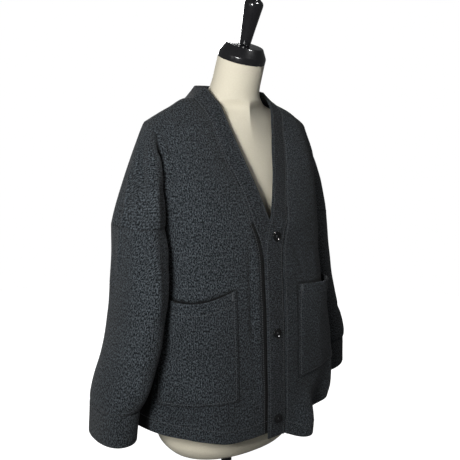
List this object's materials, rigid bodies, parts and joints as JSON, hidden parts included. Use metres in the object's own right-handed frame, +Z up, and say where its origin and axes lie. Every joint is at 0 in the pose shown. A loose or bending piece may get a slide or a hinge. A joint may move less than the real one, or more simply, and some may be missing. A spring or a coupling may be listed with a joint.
{
  "type": "v-neck cardigan on dress form",
  "caption": "Drop-shoulder knitted cardigan with a v-neck, buttoned front and patch pockets, worn on a limbless dress form with a round base.",
  "frame": {"origin": "middle of the base's underside", "axes": "+Z up, the front faces -Y, the wearer's left side is +X"},
  "size_m": [0.7025, 0.3625, 1.1956],
  "materials": {
    "knit": "brushed heavy knit, heather",
    "band": "brushed heavy knit, heather, double",
    "button": "glossy",
    "form": "smooth woven cover",
    "lacquer": "black lacquer"
  },
  "bodies": {
    "root": {"front_right": "knit", "front_left": "knit", "back": "knit", "sleeve_right": "knit", "sleeve_left": "knit", "cuff_right": "knit", "cuff_left": "knit", "band_right": "band", "band_left": "band", "band_neck": "band", "pocket_right": "knit", "pocket_left": "knit", "button_1": "button", "button_2": "button", "button_3": "button", "form_torso": "form", "form_cap": "lacquer", "form_finial": "lacquer", "form_pole": "lacquer", "form_base": "lacquer"}
  },
  "joints": []
}
